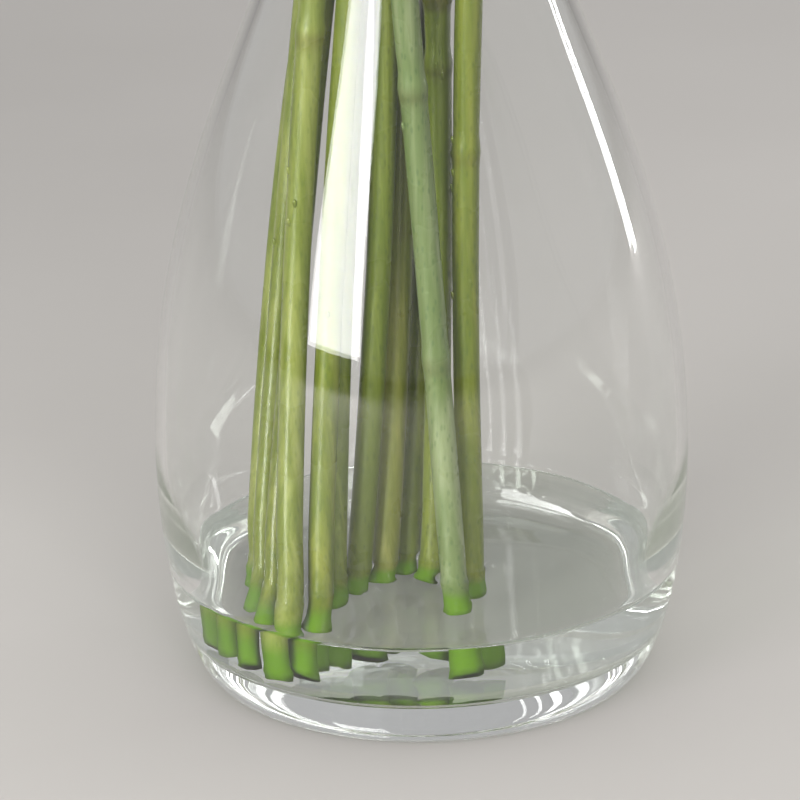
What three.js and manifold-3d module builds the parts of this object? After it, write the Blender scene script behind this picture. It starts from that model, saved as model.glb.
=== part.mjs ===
import * as THREE from "three";
import { mergeVertices } from "three/addons/utils/BufferGeometryUtils.js";
import Module from "manifold-3d";

// Cut lilies standing in a clear glass bottle vase with a little water in it.
// Millimetres, +Z up, origin at the centre of the vase's flat underside.

// Vase: one lathe-turned outline, round about Z
const VASE_HEIGHT = 300;
const BASE_RADIUS = 65; // flat underside
const BELLY_RADIUS = 81.5;
const BELLY_HEIGHT = 70;
const NECK_RADIUS = 36; // outside, at its narrowest
const LIP_RADIUS = 48; // outside, at the rim
const LIP_HEIGHT = 37; // from the neck up to the rim
const WALL = 3;
const FLOOR_THICKNESS = 14;
const POOL_SHARE = 0.75; // the upright side of the pool stands this far out from base to belly,
const POOL_WALL = 4.4; // less this much glass
const POOL_CORNER = 6; // from the side of the pool to the edge of its flat floor
const POOL_SIDE = 12; // from the floor up to where the side is upright
const ROUND_SEGMENTS = 32;
const OUTLINE_STEPS = 5; // along each curve of the outline

// Water and the room left round everything that stands in it
const WATER_DEPTH = 20;
const GAP = 0.3;

// Stems
const STEM_RADIUS = 4;
const STEM_SIDES = 8;
const STEM_STEPS = 10;
const FOOT_LIFT = 0.35 * STEM_RADIUS; // a leaning stem's cut end stays clear of the floor
const WAIST_SHARE = 0.383; // height of the middle station between floor and neck
const STALK_RADIUS = 2.2; // side stalks that carry buds
const STALK_STEPS = 4;

// Flower heads sit on a ball round this centre and face outwards
const HEAD_CENTRE_X = 2;
const HEAD_CENTRE_ABOVE_RIM = 96;
const HEAD_SPACING = 42; // degrees between neighbouring blooms
const STEM_RISE = 95; // how far a stem keeps its lean above the neck
const STEM_ARCH = 58; // how early it turns to face the way its head does

// Blooms: six tepals round a pistil
const BLOOM_DEPTH = 80;
const BLOOM_RADIUS = 66;
const INNER_TEPAL_WIDTH = 42;
const OUTER_TEPAL_WIDTH = 31;
const TEPAL_THICKNESS = 1.4;
const TEPAL_STEPS = 5;
const FUNNEL_HALF_ANGLE = 56; // a tepal goes no further round, so neighbours stay apart
const TEPAL_LAYER = 1.6; // inner tepals lie this far inside the middle, outer ones outside it
const OVARY_RADIUS = 7;
const OVARY_LENGTH = 10;
const PISTIL_RADIUS = 2;
const PISTIL_LENGTH = 84;

// Buds and leaves
const BUD_LENGTH = 68;
const BUD_RADIUS = 10;
const LEAF_WIDTH = 20;
const LEAF_THICKNESS = 1.2;
const LEAF_STEPS = 6;
const LEAF_GAP = 2;

const FLOOR = FLOOR_THICKNESS;
const INNER_BELLY = BELLY_RADIUS - WALL;
const INNER_NECK = NECK_RADIUS - WALL;
const POOL_RADIUS = BASE_RADIUS + POOL_SHARE * (BELLY_RADIUS - BASE_RADIUS) - POOL_WALL;
const FLOOR_RADIUS = POOL_RADIUS - POOL_CORNER;
const NECK_HEIGHT = VASE_HEIGHT - LIP_HEIGHT;
const WATER_LEVEL = FLOOR + WATER_DEPTH;
const WAIST_HEIGHT = FLOOR + WAIST_SHARE * (NECK_HEIGHT - FLOOR);
const HEAD_CENTRE = new THREE.Vector3(HEAD_CENTRE_X, 0, VASE_HEIGHT + HEAD_CENTRE_ABOVE_RIM);
const DEGREE = Math.PI / 180;
const MOUTH_RADIUS = BLOOM_RADIUS / Math.tan((HEAD_SPACING / 2) * DEGREE); // blooms side by side
const HEAD_RADIUS = MOUTH_RADIUS - 0.9 * BLOOM_DEPTH; // from the centre to the base of a bloom

// Each stem from its cut foot on the floor, past the waist, to the throat. Places are shares of the
// room there: 1 touches the wall. tilt and azimuth turn its head from upright and round the bunch.
const STEMS = [
  { foot: [-0.824, -0.39], waist: [-0.58, -0.01], throat: [-0.93, 0.28], tilt: 80, azimuth: 150 },
  { foot: [-0.841, -0.197], waist: [-0.61, 0.15], throat: [-0.78, 0.6], tilt: 42, azimuth: 120 },
  { foot: [-0.765, -0.558], waist: [-0.52, -0.14], throat: [-0.7, 0], tilt: 44, azimuth: 182 },
  { foot: [-0.656, -0.73], waist: [-0.51, -0.29], throat: [-0.83, -0.35], tilt: 80, azimuth: 210 },
  { foot: [-0.521, -0.642], waist: [-0.37, -0.26], throat: [-0.48, -0.48], tilt: 42, azimuth: 240 },
  { foot: [-0.445, -0.432], waist: [-0.32, -0.1], throat: [-0.41, 0.36], tilt: 80, azimuth: 90 },
  { foot: [-0.353, -0.289], waist: [-0.18, -0.07], throat: [-0.22, -0.22], tilt: 44, azimuth: 298 },
  { foot: [-0.219, -0.188], waist: [-0.09, 0.04], throat: [-0.12, 0.13], tilt: 4, azimuth: 60 },
  { foot: [-0.101, -0.062], waist: [0.01, 0.15], throat: [0.26, 0.36], tilt: 80, azimuth: 30 },
  { foot: [0.025, -0.172], waist: [0.08, 0.02], throat: [0.23, -0.02], tilt: 42, azimuth: 0 },
  { foot: [0.16, -0.525], waist: [0.06, -0.22], throat: [-0.2, -0.72], tilt: 80, azimuth: 270 },
  { foot: [0.235, -0.365], waist: [0.19, -0.1], throat: [0.67, -0.21], tilt: 80, azimuth: 330 },
];
const BUD_STEMS = [2, 6]; // these two end in a bud, the rest in a bloom

// Side stalks, each from a share of the way up its stem's free part to a bud
const SIDE_BUDS = [
  { stem: 9, from: 0.6, tilt: 46, azimuth: 60 },
  { stem: 11, from: 0.4, tilt: 96, azimuth: 0 },
  { stem: 5, from: 0.4, tilt: 96, azimuth: 120 },
  { stem: 3, from: 0.4, tilt: 96, azimuth: 240 },
  { stem: 7, from: 0.62, tilt: 26, azimuth: 60 },
  { stem: 10, from: 0.4, tilt: 98, azimuth: 300 },
];

// Leaves: the stem, how far up its free part, the way it points, its rise above level, its length
const LEAVES = [
  [0, 0.28, 180, 15, 110], [3, 0.28, 240, 15, 115], [5, 0.28, 120, 15, 105], [8, 0.28, 60, 15, 110],
  [10, 0.28, 300, 15, 110], [11, 0.28, 0, 15, 115], [0, 0.42, 205, 25, 100], [3, 0.42, 265, 25, 95],
  [5, 0.42, 145, 25, 100], [8, 0.42, 85, 25, 105], [10, 0.42, 325, 25, 100], [11, 0.42, 25, 25, 95],
  [1, 0.5, 135, 30, 110], [4, 0.5, 240, 30, 110], [9, 0.5, 0, 30, 110], [7, 0.5, 60, 35, 105],
  [2, 0.45, 182, 25, 110], [6, 0.55, 298, 40, 100], [7, 0.62, 170, 45, 95], [7, 0.66, 330, 45, 90],
  [1, 0.75, 60, 30, 80], [4, 0.75, 180, 30, 80], [9, 0.75, 300, 30, 80], [0, 0.56, 75, 30, 85],
  [3, 0.56, 130, 36, 85], [8, 0.56, 315, 30, 85], [10, 0.56, 195, 30, 85], [7, 0.8, 180, 50, 65],
];

const wasm = await Module();
wasm.setup();

// A closed geometry with its shared corners merged
function closed(geometry) {
  geometry.deleteAttribute("normal");
  geometry.deleteAttribute("uv");
  return mergeVertices(geometry, 1e-4);
}

function toSolid(geometry) {
  const merged = closed(geometry.clone());
  const vertProperties = new Float32Array(merged.attributes.position.array);
  const triVerts = new Uint32Array(merged.index.array);
  return new wasm.Manifold(new wasm.Mesh({ numProp: 3, vertProperties, triVerts }));
}

function toGeometry(solid) {
  const mesh = solid.getMesh();
  const geometry = new THREE.BufferGeometry();
  geometry.setAttribute("position", new THREE.BufferAttribute(new Float32Array(mesh.vertProperties), 3));
  geometry.setIndex(new THREE.BufferAttribute(new Uint32Array(mesh.triVerts), 1));
  return geometry;
}

// Vase outline, as radius and height. inset moves a curve inwards.
function shoulder(path, inset, upwards) {
  const low = [BELLY_RADIUS - inset, BELLY_HEIGHT];
  const high = [NECK_RADIUS - inset, NECK_HEIGHT];
  const rise = NECK_HEIGHT - BELLY_HEIGHT;
  const lowHandle = [low[0], low[1] + 0.5 * rise];
  const highHandle = [high[0], high[1] - 0.255 * rise];
  if (upwards) path.bezierCurveTo(...lowHandle, ...highHandle, ...high);
  else path.bezierCurveTo(...highHandle, ...lowHandle, ...low);
}

function lip(path, inset, upwards) {
  const low = [NECK_RADIUS - inset, NECK_HEIGHT];
  const high = [LIP_RADIUS - inset, VASE_HEIGHT - WALL / 2];
  const lowHandle = [low[0], low[1] + 0.45 * LIP_HEIGHT];
  const highHandle = [high[0] - 0.45 * (LIP_RADIUS - NECK_RADIUS), high[1] - 0.3 * LIP_HEIGHT];
  if (upwards) path.bezierCurveTo(...lowHandle, ...highHandle, ...high);
  else path.bezierCurveTo(...highHandle, ...lowHandle, ...low);
}

// The inside of the heel, from the belly down to the upright side of the pool, then round to its floor
function innerHeel(inset) {
  const at = (radius, height) => new THREE.Vector2(radius - inset, height);
  const { lerp } = THREE.MathUtils;
  const floor = FLOOR + inset;
  const side = FLOOR + POOL_SIDE;
  const upper = new THREE.CubicBezierCurve(
    at(INNER_BELLY, BELLY_HEIGHT),
    at(INNER_BELLY, lerp(BELLY_HEIGHT, side, 0.4)),
    at(POOL_RADIUS, lerp(side, BELLY_HEIGHT, 0.35)),
    at(POOL_RADIUS, side),
  );
  const lower = new THREE.CubicBezierCurve(
    at(POOL_RADIUS, side),
    at(POOL_RADIUS, lerp(floor, side, 0.4)),
    at(lerp(FLOOR_RADIUS, POOL_RADIUS, 0.7), floor),
    at(FLOOR_RADIUS, floor),
  );
  return [upper, lower];
}

function vaseGeometry() {
  const path = new THREE.Path();
  path.moveTo(0, 0);
  path.lineTo(BASE_RADIUS, 0);
  const heelOut = BELLY_RADIUS - BASE_RADIUS;
  path.bezierCurveTo(
    BASE_RADIUS + 0.5 * heelOut, 0,
    BELLY_RADIUS, 0.5 * BELLY_HEIGHT,
    BELLY_RADIUS, BELLY_HEIGHT,
  );
  shoulder(path, 0, true);
  lip(path, 0, true);
  const crown = VASE_HEIGHT + 0.17 * WALL;
  path.bezierCurveTo(LIP_RADIUS, crown, LIP_RADIUS - WALL, crown, LIP_RADIUS - WALL, VASE_HEIGHT - WALL / 2);
  lip(path, WALL, false);
  shoulder(path, WALL, false);
  path.curves.push(...innerHeel(0));
  path.currentPoint.set(FLOOR_RADIUS, FLOOR);
  path.lineTo(0, FLOOR);
  return new THREE.LatheGeometry(path.getPoints(OUTLINE_STEPS), ROUND_SEGMENTS).rotateX(Math.PI / 2);
}

// A station's place across the vase: a share of the room that a stem's middle has there
function station([x, y], innerRadius, height) {
  const room = innerRadius - STEM_RADIUS - 2 * GAP;
  return new THREE.Vector3(x * room, y * room, height);
}

// The stem inside the vase: one parabola through foot, waist and throat, by height
class Shaft extends THREE.Curve {
  constructor(stem) {
    super();
    this.foot = station(stem.foot, FLOOR_RADIUS + GAP, FLOOR + FOOT_LIFT);
    this.waist = station(stem.waist, INNER_BELLY, WAIST_HEIGHT);
    this.throat = station(stem.throat, INNER_NECK, NECK_HEIGHT);
  }

  at(height, target = new THREE.Vector3()) {
    const [a, b, c] = [this.foot, this.waist, this.throat];
    const wa = ((height - b.z) * (height - c.z)) / ((a.z - b.z) * (a.z - c.z));
    const wb = ((height - a.z) * (height - c.z)) / ((b.z - a.z) * (b.z - c.z));
    const wc = 1 - wa - wb;
    return target.set(wa * a.x + wb * b.x + wc * c.x, wa * a.y + wb * b.y + wc * c.y, height);
  }

  getPoint(t, target) {
    return this.at(THREE.MathUtils.lerp(this.foot.z, this.throat.z, t), target);
  }
}

function direction(tilt, azimuth) {
  const out = Math.sin(tilt * DEGREE);
  return new THREE.Vector3(
    out * Math.cos(azimuth * DEGREE),
    out * Math.sin(azimuth * DEGREE),
    Math.cos(tilt * DEGREE),
  );
}

// The stem above the neck: it keeps its lean, then turns to face the way its head does
function freeStem(shaft, stem) {
  const lean = shaft.getTangent(1);
  const facing = direction(stem.tilt, stem.azimuth);
  const head = HEAD_CENTRE.clone().addScaledVector(facing, HEAD_RADIUS);
  const rise = shaft.throat.clone().addScaledVector(lean, STEM_RISE);
  const arch = head.clone().addScaledVector(facing, -STEM_ARCH);
  return new THREE.CubicBezierCurve3(shaft.throat, rise, arch, head);
}

// A side stalk leaves its stem along it, then turns to face the way its bud does
function sideStalk(bud) {
  const free = frees[bud.stem];
  const root = free.getPoint(bud.from);
  const facing = direction(bud.tilt, bud.azimuth);
  const head = HEAD_CENTRE.clone().addScaledVector(facing, HEAD_RADIUS);
  const reach = head.distanceTo(root) / 3;
  const rise = root.clone().addScaledVector(free.getTangent(bud.from), reach);
  const arch = head.clone().addScaledVector(facing, -reach);
  return new THREE.CubicBezierCurve3(root, rise, arch, head);
}

function tube(curve, radius, steps) {
  const round = new THREE.Shape().absarc(0, 0, radius, 0, 2 * Math.PI);
  return new THREE.ExtrudeGeometry(round, {
    steps,
    curveSegments: STEM_SIDES / 2,
    extrudePath: curve,
  });
}

// A thin blade: a box bent along a midline in the XZ plane. outline gives its width, as a share, and
// cup lifts its edges. A wrapped blade curves round the Z axis as a piece of a funnel does.
function blade({ midline, width, thickness, steps, cup, outline, wrapped = false }) {
  const box = new THREE.BoxGeometry(1, 1, 1, steps, 2, 1);
  const at = box.attributes.position;
  for (let i = 0; i < at.count; i += 1) {
    const t = at.getX(i) + 0.5;
    const middle = midline.getPoint(t);
    const along = midline.getTangent(t);
    const across = at.getY(i) * width * outline(t);
    const lift = at.getZ(i) * thickness + cup * (2 * at.getY(i)) ** 2 * outline(t);
    const out = middle.x - along.y * lift;
    const widest = FUNNEL_HALF_ANGLE * DEGREE;
    const angle = wrapped ? THREE.MathUtils.clamp(across / middle.x, -widest, widest) : 0;
    const x = out * Math.cos(angle);
    const y = wrapped ? out * Math.sin(angle) : across;
    at.setXYZ(i, x, y, middle.y + along.x * lift);
  }
  return box;
}

const tepalOutline = (t) => 0.12 + 0.88 * Math.sin(Math.PI * Math.min(1, 0.02 + 0.94 * t)) - 0.14 * t;
const leafOutline = (t) => 0.25 + 0.75 * Math.sin(Math.PI * (0.05 + 0.9 * t)) - 0.2 * t;

// The inner three tepals are the wide ones; layer sets the outer three outside them
function tepal(width, layer) {
  const foot = 0.6 * OVARY_RADIUS + 0.7 * layer;
  const midline = new THREE.CubicBezierCurve(
    new THREE.Vector2(foot, 0.6 * OVARY_LENGTH),
    new THREE.Vector2(0.12 * BLOOM_RADIUS + layer, 0.75 * BLOOM_DEPTH),
    new THREE.Vector2(0.6 * BLOOM_RADIUS + layer, 1.25 * BLOOM_DEPTH),
    new THREE.Vector2(BLOOM_RADIUS, 0.74 * BLOOM_DEPTH),
  );
  return blade({
    midline,
    width,
    thickness: TEPAL_THICKNESS,
    steps: TEPAL_STEPS,
    cup: 2,
    outline: tepalOutline,
    wrapped: true,
  });
}

function bloomGeometry() {
  const ovary = new THREE.CylinderGeometry(OVARY_RADIUS, 0.6 * OVARY_RADIUS, OVARY_LENGTH, 12);
  ovary.rotateX(Math.PI / 2).translate(0, 0, OVARY_LENGTH / 2 + GAP);
  const pistil = new THREE.CylinderGeometry(PISTIL_RADIUS, PISTIL_RADIUS, PISTIL_LENGTH, 6);
  pistil.rotateX(Math.PI / 2).translate(0, 0, PISTIL_LENGTH / 2 + 2);
  let bloom = toSolid(ovary).add(toSolid(pistil));
  for (let i = 0; i < 3; i += 1) {
    bloom = bloom.add(toSolid(tepal(INNER_TEPAL_WIDTH, -TEPAL_LAYER).rotateZ(120 * i * DEGREE)));
    bloom = bloom.add(toSolid(tepal(OUTER_TEPAL_WIDTH, TEPAL_LAYER).rotateZ((120 * i + 60) * DEGREE)));
  }
  return toGeometry(bloom);
}

function budGeometry() {
  const path = new THREE.Path();
  path.moveTo(0, GAP);
  path.lineTo(0.4 * BUD_RADIUS, GAP);
  path.bezierCurveTo(
    1.1 * BUD_RADIUS, 0.3 * BUD_LENGTH,
    1.25 * BUD_RADIUS, 0.8 * BUD_LENGTH,
    0.2 * BUD_RADIUS, 0.98 * BUD_LENGTH,
  );
  path.lineTo(0, BUD_LENGTH);
  return new THREE.LatheGeometry(path.getPoints(4), 8).rotateX(Math.PI / 2);
}

function leafGeometry(length, rise) {
  const midline = new THREE.CubicBezierCurve(
    new THREE.Vector2(0, 0),
    new THREE.Vector2(0.3 * length * Math.cos(rise), 0.3 * length * Math.sin(rise) + 4),
    new THREE.Vector2(0.65 * length, 0.65 * length * Math.tan(rise * 0.7)),
    new THREE.Vector2(0.95 * length, 0.65 * length * Math.tan(rise * 0.7) - 0.18 * length),
  );
  return blade({
    midline,
    width: LEAF_WIDTH,
    thickness: LEAF_THICKNESS,
    steps: LEAF_STEPS,
    cup: 2,
    outline: leafOutline,
  });
}

function waterGeometry() {
  const heelPath = new THREE.Path();
  heelPath.curves.push(...innerHeel(GAP));
  const heel = heelPath.getPoints(OUTLINE_STEPS).reverse();
  const wet = heel.filter((p) => p.y < WATER_LEVEL);
  const above = heel[wet.length];
  const below = wet.at(-1);
  const edge = below.clone().lerp(above, (WATER_LEVEL - below.y) / (above.y - below.y));
  const outline = [new THREE.Vector2(0, FLOOR + GAP), ...wet, edge, new THREE.Vector2(0, WATER_LEVEL)];
  let water = toSolid(new THREE.LatheGeometry(outline, ROUND_SEGMENTS).rotateX(Math.PI / 2));
  for (const shaft of shafts) {
    const line = new THREE.LineCurve3(shaft.at(FLOOR - STEM_RADIUS), shaft.at(WATER_LEVEL + STEM_RADIUS));
    water = water.subtract(toSolid(tube(line, STEM_RADIUS + 2 * GAP, 1)));
  }
  return toGeometry(water);
}

const model = new THREE.Group();

function addMesh(name, geometry, colour, roughness) {
  const material = new THREE.MeshStandardMaterial({ color: colour, roughness, metalness: 0 });
  const mesh = new THREE.Mesh(geometry, material);
  mesh.name = name;
  model.add(mesh);
  return mesh;
}

// Sets a head made along +Z at a stem's end, facing the same way
function setHead(mesh, curve, roll) {
  mesh.position.copy(curve.getPoint(1));
  const turn = new THREE.Quaternion().setFromUnitVectors(new THREE.Vector3(0, 0, 1), curve.getTangent(1));
  mesh.quaternion.copy(turn).multiply(
    new THREE.Quaternion().setFromAxisAngle(new THREE.Vector3(0, 0, 1), roll * DEGREE),
  );
}

const numbered = (word, index) => `${word}_${String(index + 1).padStart(2, "0")}`;

const shafts = STEMS.map((stem) => new Shaft(stem));
const frees = STEMS.map((stem, i) => freeStem(shafts[i], stem));
const stalks = SIDE_BUDS.map(sideStalk);

addMesh("vase", vaseGeometry(), 0xdfe6e6, 0.05);
addMesh("water", waterGeometry(), 0xd5dfda, 0.05);

// A stem ends a gap short of its head; its side stalks are part of it
STEMS.forEach((stem, i) => {
  const whole = new THREE.CurvePath();
  whole.add(shafts[i]);
  whole.add(frees[i]);
  let solid = toSolid(tube(whole, STEM_RADIUS, STEM_STEPS));
  SIDE_BUDS.forEach((bud, k) => {
    if (bud.stem === i) solid = solid.add(toSolid(tube(stalks[k], STALK_RADIUS, STALK_STEPS)));
  });
  addMesh(numbered("stem", i), toGeometry(solid), 0x5f8a3c, 0.4);
});

const bloom = bloomGeometry();
frees.filter((_, i) => !BUD_STEMS.includes(i)).forEach((free, i) => {
  setHead(addMesh(numbered("bloom", i), bloom.clone(), 0xf7f5ec, 0.5), free, 30 * i);
});

const bud = budGeometry();
[...BUD_STEMS.map((i) => frees[i]), ...stalks].forEach((curve, i) => {
  setHead(addMesh(numbered("bud", i), bud.clone(), 0xb9cf96, 0.45), curve, 0);
});

LEAVES.forEach(([stem, from, azimuth, rise, length], i) => {
  const leaf = addMesh(numbered("leaf", i), leafGeometry(length, rise * DEGREE), 0x3f6f2a, 0.4);
  const outward = direction(90, azimuth);
  outward.projectOnPlane(frees[stem].getTangent(from)).setLength(STEM_RADIUS + LEAF_GAP);
  leaf.position.copy(frees[stem].getPoint(from)).add(outward);
  leaf.rotation.z = azimuth * DEGREE;
});

export default model;
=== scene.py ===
import math
import bmesh
import bpy
from mathutils import Matrix, Vector
from mathutils.geometry import interpolate_bezier
from mathutils.noise import noise


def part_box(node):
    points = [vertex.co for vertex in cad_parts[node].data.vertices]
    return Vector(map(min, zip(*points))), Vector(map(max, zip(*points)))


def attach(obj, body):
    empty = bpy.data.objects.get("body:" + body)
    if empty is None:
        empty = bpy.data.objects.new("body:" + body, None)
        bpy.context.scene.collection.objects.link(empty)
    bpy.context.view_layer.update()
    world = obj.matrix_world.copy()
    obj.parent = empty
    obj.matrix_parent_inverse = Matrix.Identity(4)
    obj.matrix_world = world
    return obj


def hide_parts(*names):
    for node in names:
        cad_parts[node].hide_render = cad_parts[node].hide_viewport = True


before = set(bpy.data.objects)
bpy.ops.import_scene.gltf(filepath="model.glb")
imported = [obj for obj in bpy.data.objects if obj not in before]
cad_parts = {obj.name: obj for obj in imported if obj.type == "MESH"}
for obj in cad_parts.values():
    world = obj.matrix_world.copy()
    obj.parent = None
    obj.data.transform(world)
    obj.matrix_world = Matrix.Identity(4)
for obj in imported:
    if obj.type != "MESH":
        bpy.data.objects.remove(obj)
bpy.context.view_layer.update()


# ---- Vase ----
# A blown bottle vase of clear soda glass with a heavy heel. Its outline is turned round the upright
# axis: flat foot with a shallow hollow, fat belly, drawn-in neck and a fire-polished lip.
vase_low, vase_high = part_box("vase")
belly_radius = vase_high.x
vase_height = vase_high.z
belly_height = 0.070
foot_radius = 0.065
foot_hollow = 0.0008
neck_radius = 0.036
lip_radius = 0.048
lip_height = 0.037
glass_wall = 0.003
floor_height = 0.014
pool_radius = foot_radius + 0.75 * (belly_radius - foot_radius) - 0.0044
pool_corner = 0.006
pool_side = 0.012
floor_radius = pool_radius - pool_corner
neck_height = vase_height - lip_height
turn_steps = 160
MM = 0.001


def flat(radius, height):
    return Vector((radius, 0, height))


def shoulder_curve(inset, steps):
    low, high = flat(belly_radius - inset, belly_height), flat(neck_radius - inset, neck_height)
    rise = neck_height - belly_height
    return interpolate_bezier(
        low, low + flat(0, 0.5 * rise), high - flat(0, 0.255 * rise), high, steps)


def lip_curve(inset, steps):
    low = flat(neck_radius - inset, neck_height)
    high = flat(lip_radius - inset, vase_height - glass_wall / 2)
    out = lip_radius - neck_radius
    return interpolate_bezier(
        low, low + flat(0, 0.45 * lip_height),
        high - flat(0.45 * out, 0.3 * lip_height), high, steps)


def inner_heel_curve(outset, steps):
    """From the edge of the inner floor round its corner, up the upright side of the pool to the belly."""
    floor, side = floor_height - outset, floor_height + pool_side
    rise = belly_height - side
    edge, pool = floor_radius + outset, pool_radius + outset
    belly = belly_radius - glass_wall + outset
    lower = interpolate_bezier(
        flat(edge, floor), flat(edge + 0.7 * pool_corner, floor),
        flat(pool, floor + 0.4 * (side - floor)), flat(pool, side), steps)
    upper = interpolate_bezier(
        flat(pool, side), flat(pool, side + 0.35 * rise),
        flat(belly, belly_height - 0.4 * rise), flat(belly, belly_height), steps)
    return lower + upper[1:]


def turned(name, outline, steps):
    """A closed piece spun round the upright axis from its outline, which starts and ends on it."""
    bm = bmesh.new()
    corners = [bm.verts.new(point) for point in outline]
    edges = [bm.edges.new(pair) for pair in zip(corners, corners[1:])]
    bmesh.ops.spin(
        bm, geom=corners + edges, cent=(0, 0, 0), axis=(0, 0, 1),
        angle=2 * math.pi, steps=steps, use_merge=True)
    bmesh.ops.remove_doubles(bm, verts=bm.verts, dist=1e-6)
    bmesh.ops.recalc_face_normals(bm, faces=bm.faces)
    return piece_of(name, bm)


def piece_of(name, bm):
    for face in bm.faces:
        face.smooth = True
    mesh = bpy.data.meshes.new(name)
    bm.to_mesh(mesh)
    bm.free()
    piece = bpy.data.objects.new(name, mesh)
    bpy.context.scene.collection.objects.link(piece)
    return piece


def material_of(name):
    """A material with its shader, node tree and links."""
    material = bpy.data.materials.new(name)
    material.use_nodes = True
    tree = material.node_tree
    return material, tree, tree.nodes["Principled BSDF"]


def add_node(tree, kind, values=None, **settings):
    node = tree.nodes.new("ShaderNode" + kind)
    for key, value in settings.items():
        setattr(node, key, value)
    for key, value in (values or {}).items():
        node.inputs[key].default_value = value
    return node


def let_lamps_through(tree, shader, tint):
    """Shadow rays pass straight through, so that glass isn't black in its own shade. So do rays that
    are caught in a wall after many turns, which would otherwise draw a black line round the rim."""
    path = add_node(tree, "LightPath")
    caught = add_node(tree, "Math", {1: 10}, operation="GREATER_THAN")
    either = add_node(tree, "Math", operation="MAXIMUM")
    tree.links.new(path.outputs["Ray Depth"], caught.inputs[0])
    tree.links.new(path.outputs["Is Shadow Ray"], either.inputs[0])
    tree.links.new(caught.outputs["Value"], either.inputs[1])
    clear = add_node(tree, "BsdfTransparent", {"Color": tint})
    mix = add_node(tree, "MixShader")
    tree.links.new(either.outputs["Value"], mix.inputs["Fac"])
    tree.links.new(shader.outputs["BSDF"], mix.inputs[1])
    tree.links.new(clear.outputs["BSDF"], mix.inputs[2])
    tree.links.new(mix.outputs["Shader"], tree.nodes["Material Output"].inputs["Surface"])


crown_radius = glass_wall / 2
crown = [
    flat(lip_radius - crown_radius, vase_height - crown_radius)
    + flat(crown_radius * math.cos(angle), crown_radius * math.sin(angle))
    for angle in (math.pi * k / 8 for k in range(1, 8))
]
heel_corner = flat(foot_radius, 0)
outer_heel = interpolate_bezier(
    heel_corner, heel_corner + flat(0.5 * (belly_radius - foot_radius), 0),
    flat(belly_radius, 0.5 * belly_height), flat(belly_radius, belly_height), 26)
hollow = [flat(foot_radius * share, foot_hollow * (1 - share ** 4)) for share in
          (0, 0.2, 0.4, 0.6, 0.75, 0.85, 0.92, 0.97)]
inner_floor = [flat(floor_radius * share, floor_height) for share in (0.8, 0.5, 0.2, 0)]
vase_outline = (
    hollow + outer_heel + shoulder_curve(0, 48)[1:] + lip_curve(0, 14)[1:] + crown
    + lip_curve(glass_wall, 14)[::-1] + shoulder_curve(glass_wall, 48)[::-1][1:]
    + inner_heel_curve(0, 18)[::-1][1:] + inner_floor
)
vase = turned("vase_glass", vase_outline, turn_steps)

glass, tree, shader = material_of("clear_blown_glass")
shader.inputs["Base Color"].default_value = (0.985, 0.99, 0.985, 1)
shader.inputs["Transmission Weight"].default_value = 1
shader.inputs["IOR"].default_value = 1.5
coords = add_node(tree, "TexCoord")
# Faint upright ripples left by blowing and turning
stretch = add_node(tree, "Mapping", {"Scale": (26, 26, 5)})
ripple = add_node(tree, "TexNoise", {"Scale": 1.0, "Detail": 1.5, "Roughness": 0.4})
bump = add_node(tree, "Bump", {"Strength": 0.12, "Distance": 0.0012})
tree.links.new(coords.outputs["Object"], stretch.inputs["Vector"])
tree.links.new(stretch.outputs["Vector"], ripple.inputs["Vector"])
tree.links.new(ripple.outputs["Fac"], bump.inputs["Height"])
tree.links.new(bump.outputs["Normal"], shader.inputs["Normal"])
# A trace of dried drops and handling, as patches that are a little less polished
smears = add_node(tree, "TexNoise", {"Scale": 38.0, "Detail": 4.0})
polish = add_node(tree, "MapRange", {"From Min": 0.62, "From Max": 0.85, "To Min": 0.0, "To Max": 0.05})
tree.links.new(coords.outputs["Object"], smears.inputs["Vector"])
tree.links.new(smears.outputs["Fac"], polish.inputs["Value"])
tree.links.new(polish.outputs["Result"], shader.inputs["Roughness"])
let_lamps_through(tree, shader, (0.93, 0.94, 0.93, 1))
vase.data.materials.append(glass)
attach(vase, "root")
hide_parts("vase")


# ---- Stems ----
# Twelve cut lily stems, stripped of their leaves below the rim. Each stands on the inner floor, leans
# through the neck and arches outwards to its head. Places are shares of the room at each height.
stem_radius = 0.004
stem_gap = 0.0003
waist_share = 0.383
foot_height = floor_height + 0.0014
waist_height = floor_height + waist_share * (neck_height - floor_height)
bloom_depth = 0.080
bloom_radius = 0.066
head_centre = Vector((0.002, 0, vase_height + 0.096))
head_radius = bloom_radius / math.tan(math.radians(21)) - 0.9 * bloom_depth
stem_rise = 0.095
stem_arch = 0.058
water_level = floor_height + 0.020


def heading(tilt, azimuth):
    out = math.sin(math.radians(tilt))
    turn = math.radians(azimuth)
    return Vector((out * math.cos(turn), out * math.sin(turn), math.cos(math.radians(tilt))))


def station(share, inner_radius, height):
    room = inner_radius - stem_radius - 2 * stem_gap
    return Vector((share[0] * room, share[1] * room, height))


def shaft_point(stations, height):
    """The parabola through foot, waist and throat, at a height."""
    a, b, c = stations
    share_a = (height - b.z) * (height - c.z) / ((a.z - b.z) * (a.z - c.z))
    share_b = (height - a.z) * (height - c.z) / ((b.z - a.z) * (b.z - c.z))
    point = share_a * a + share_b * b + (1 - share_a - share_b) * c
    return Vector((point.x, point.y, height))


def free_curve(stations, tilt, azimuth):
    """Corner points of the curve from the throat to the head."""
    throat = stations[2]
    lean = (throat - shaft_point(stations, throat.z - 0.001)).normalized()
    head = head_centre + head_radius * heading(tilt, azimuth)
    return throat, throat + stem_rise * lean, head - stem_arch * heading(tilt, azimuth), head


def curve_point(corners, t):
    a, b, c, d = corners
    s = 1 - t
    return s ** 3 * a + 3 * s * s * t * b + 3 * s * t * t * c + t ** 3 * d


def curve_heading(corners, t):
    return (curve_point(corners, min(1, t + 0.01)) - curve_point(corners, max(0, t - 0.01))).normalized()


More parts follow.
